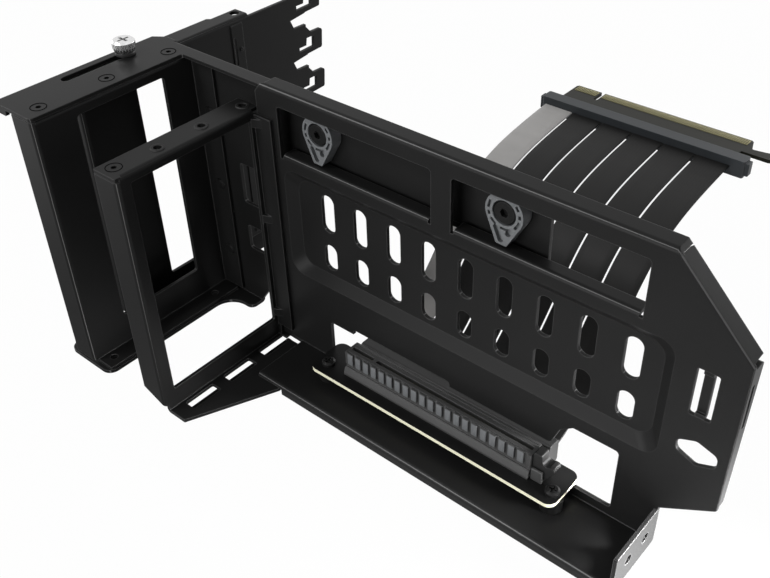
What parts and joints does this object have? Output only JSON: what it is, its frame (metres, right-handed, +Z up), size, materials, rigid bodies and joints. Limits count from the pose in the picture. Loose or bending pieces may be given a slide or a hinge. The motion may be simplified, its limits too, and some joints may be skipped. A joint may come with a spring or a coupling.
{
  "type": "vertical gpu mount",
  "caption": "Vertical graphics card mount: slotted case bracket, sliding carriage with arm, card holder locked by cams, and a riser socket with a flat cable.",
  "frame": {"origin": "middle of the case screw holes, on the outer face of the case bracket's screw tab", "axes": "+X along the side plate towards the front of the case, +Y away from the card's near side towards the main board, +Z up"},
  "size_m": [0.2686, 0.2209, 0.1279],
  "materials": {
    "powder_coat": "satin",
    "black_screw": "satin",
    "zinc_steel": "satin",
    "bright_steel": "polished",
    "black_plastic": "matte",
    "grey_plastic": "matte",
    "circuit_board": "satin",
    "socket_plastic": "matte",
    "gold_contact": "satin",
    "silver_strip": "satin",
    "black_strip": "satin"
  },
  "bodies": {
    "case": {"case_bracket": "powder_coat", "case_nut": "zinc_steel"},
    "thumbscrew": {"thumbscrew": "bright_steel", "thumbscrew_collar": "black_plastic"},
    "carriage": {"rear_frame": "powder_coat", "slide_arm": "powder_coat", "frame_screws": "black_screw", "arm_rivets": "black_screw", "cam_screw_rear": "black_screw", "cam_screw_front": "black_screw", "cam_nuts": "zinc_steel"},
    "cam_rear": {"cam_rear": "grey_plastic"},
    "cam_front": {"cam_front": "grey_plastic"},
    "holder": {"side_plate": "powder_coat", "card_frame": "powder_coat", "corner_screw": "black_screw", "riser_board": "circuit_board", "board_standoffs": "black_screw", "board_screws": "black_screw", "slot_housing": "socket_plastic", "slot_contacts": "gold_contact", "latch_pivot": "socket_plastic", "cable_clamp": "black_plastic", "ribbon_silver": "silver_strip", "ribbon_black_1": "black_strip", "ribbon_black_2": "black_strip", "ribbon_black_3": "black_strip", "ribbon_black_4": "black_strip", "ribbon_black_5": "black_strip", "plug_housing": "black_plastic", "plug_board": "circuit_board", "plug_fingers": "gold_contact"},
    "latch": {"slot_latch": "socket_plastic"}
  },
  "joints": [
    {"name": "carriage_slide", "type": "slide", "parent": "case", "child": "carriage", "axis": [0, 1, 0], "range_m": [0, 0.025]},
    {"name": "thumbscrew_turn", "type": "hinge", "parent": "case", "child": "thumbscrew", "pos_m": [0.0016, 0.028, 0.05], "axis": [0, 0, 1], "continuous": true},
    {"name": "holder_slide", "type": "slide", "parent": "carriage", "child": "holder", "axis": [1, 0, 0], "range_m": [-0.02, 0.008]},
    {"name": "cam_rear_turn", "type": "hinge", "parent": "carriage", "child": "cam_rear", "pos_m": [0.0913, 0.0447, 0.0377], "axis": [0, -1, 0], "range_deg": [0, 95]},
    {"name": "cam_front_turn", "type": "hinge", "parent": "carriage", "child": "cam_front", "pos_m": [0.1739, 0.0447, 0.0377], "axis": [0, -1, 0], "range_deg": [0, 95]},
    {"name": "latch_turn", "type": "hinge", "parent": "holder", "child": "latch", "pos_m": [0.201, 0.03485, -0.0571], "axis": [0, 1, 0], "range_deg": [0, 25]}
  ]
}
